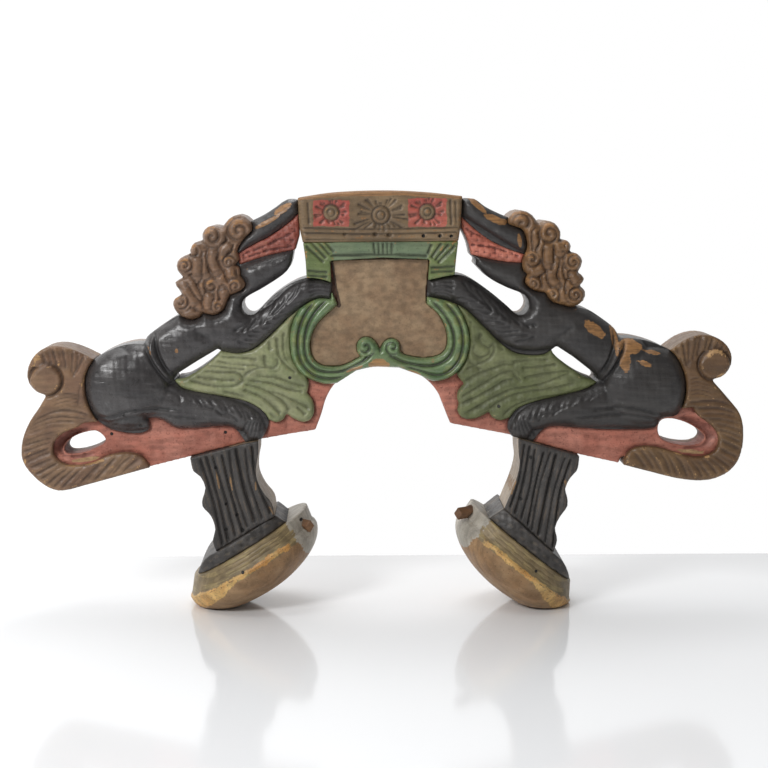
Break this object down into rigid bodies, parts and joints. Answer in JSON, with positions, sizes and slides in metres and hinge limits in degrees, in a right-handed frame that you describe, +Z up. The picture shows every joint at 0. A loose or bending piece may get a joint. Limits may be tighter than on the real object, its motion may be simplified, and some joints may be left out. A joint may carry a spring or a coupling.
{
  "type": "carved harness bow",
  "caption": "Painted wooden harness bow: an arched plank carved with two lions beside a crowned shield, two rein holes at its ends, on two footed legs.",
  "frame": {"origin": "on the surface the feet stand on, under the middle of the object's box", "axes": "+X along the plank to the viewer's right, +Y from the carved front to the flat back, +Z up"},
  "size_m": [0.5792, 0.1, 0.3396],
  "materials": {
    "red_ground": "old matt red paint on wood",
    "shield_brown": "satin brown paint on wood",
    "shield_green": "satin green paint on wood",
    "crown_paint": "worn brown and red paint on wood",
    "lion_black": "satin black paint worn through to wood",
    "mouth_red": "satin red paint on wood",
    "mane_brown": "worn brown paint on wood",
    "wing_green": "satin sage green paint on wood",
    "tail_brown": "worn brown paint on wood",
    "leg_black": "worn grey-black paint on wood",
    "plinth_black": "black paint on wood",
    "sole_wood": "brown and olive paint, crackled yellow at the rim",
    "peg_wood": "bare dark wood"
  },
  "bodies": {
    "root": {"arch_board": "red_ground", "shield_panel": "shield_brown", "shield_head": "shield_green", "shield_strap": "shield_green", "crown_rail": "crown_paint", "lion_left": "lion_black", "lion_right": "lion_black", "mouth_left": "mouth_red", "mouth_right": "mouth_red", "mane_left": "mane_brown", "mane_right": "mane_brown", "wing_left": "wing_green", "wing_right": "wing_green", "tail_left": "tail_brown", "tail_right": "tail_brown", "leg_left": "leg_black", "leg_right": "leg_black", "plinth_left": "plinth_black", "plinth_right": "plinth_black", "sole_left": "sole_wood", "sole_right": "sole_wood", "sole_peg_left": "peg_wood", "sole_peg_right": "peg_wood"}
  },
  "joints": []
}
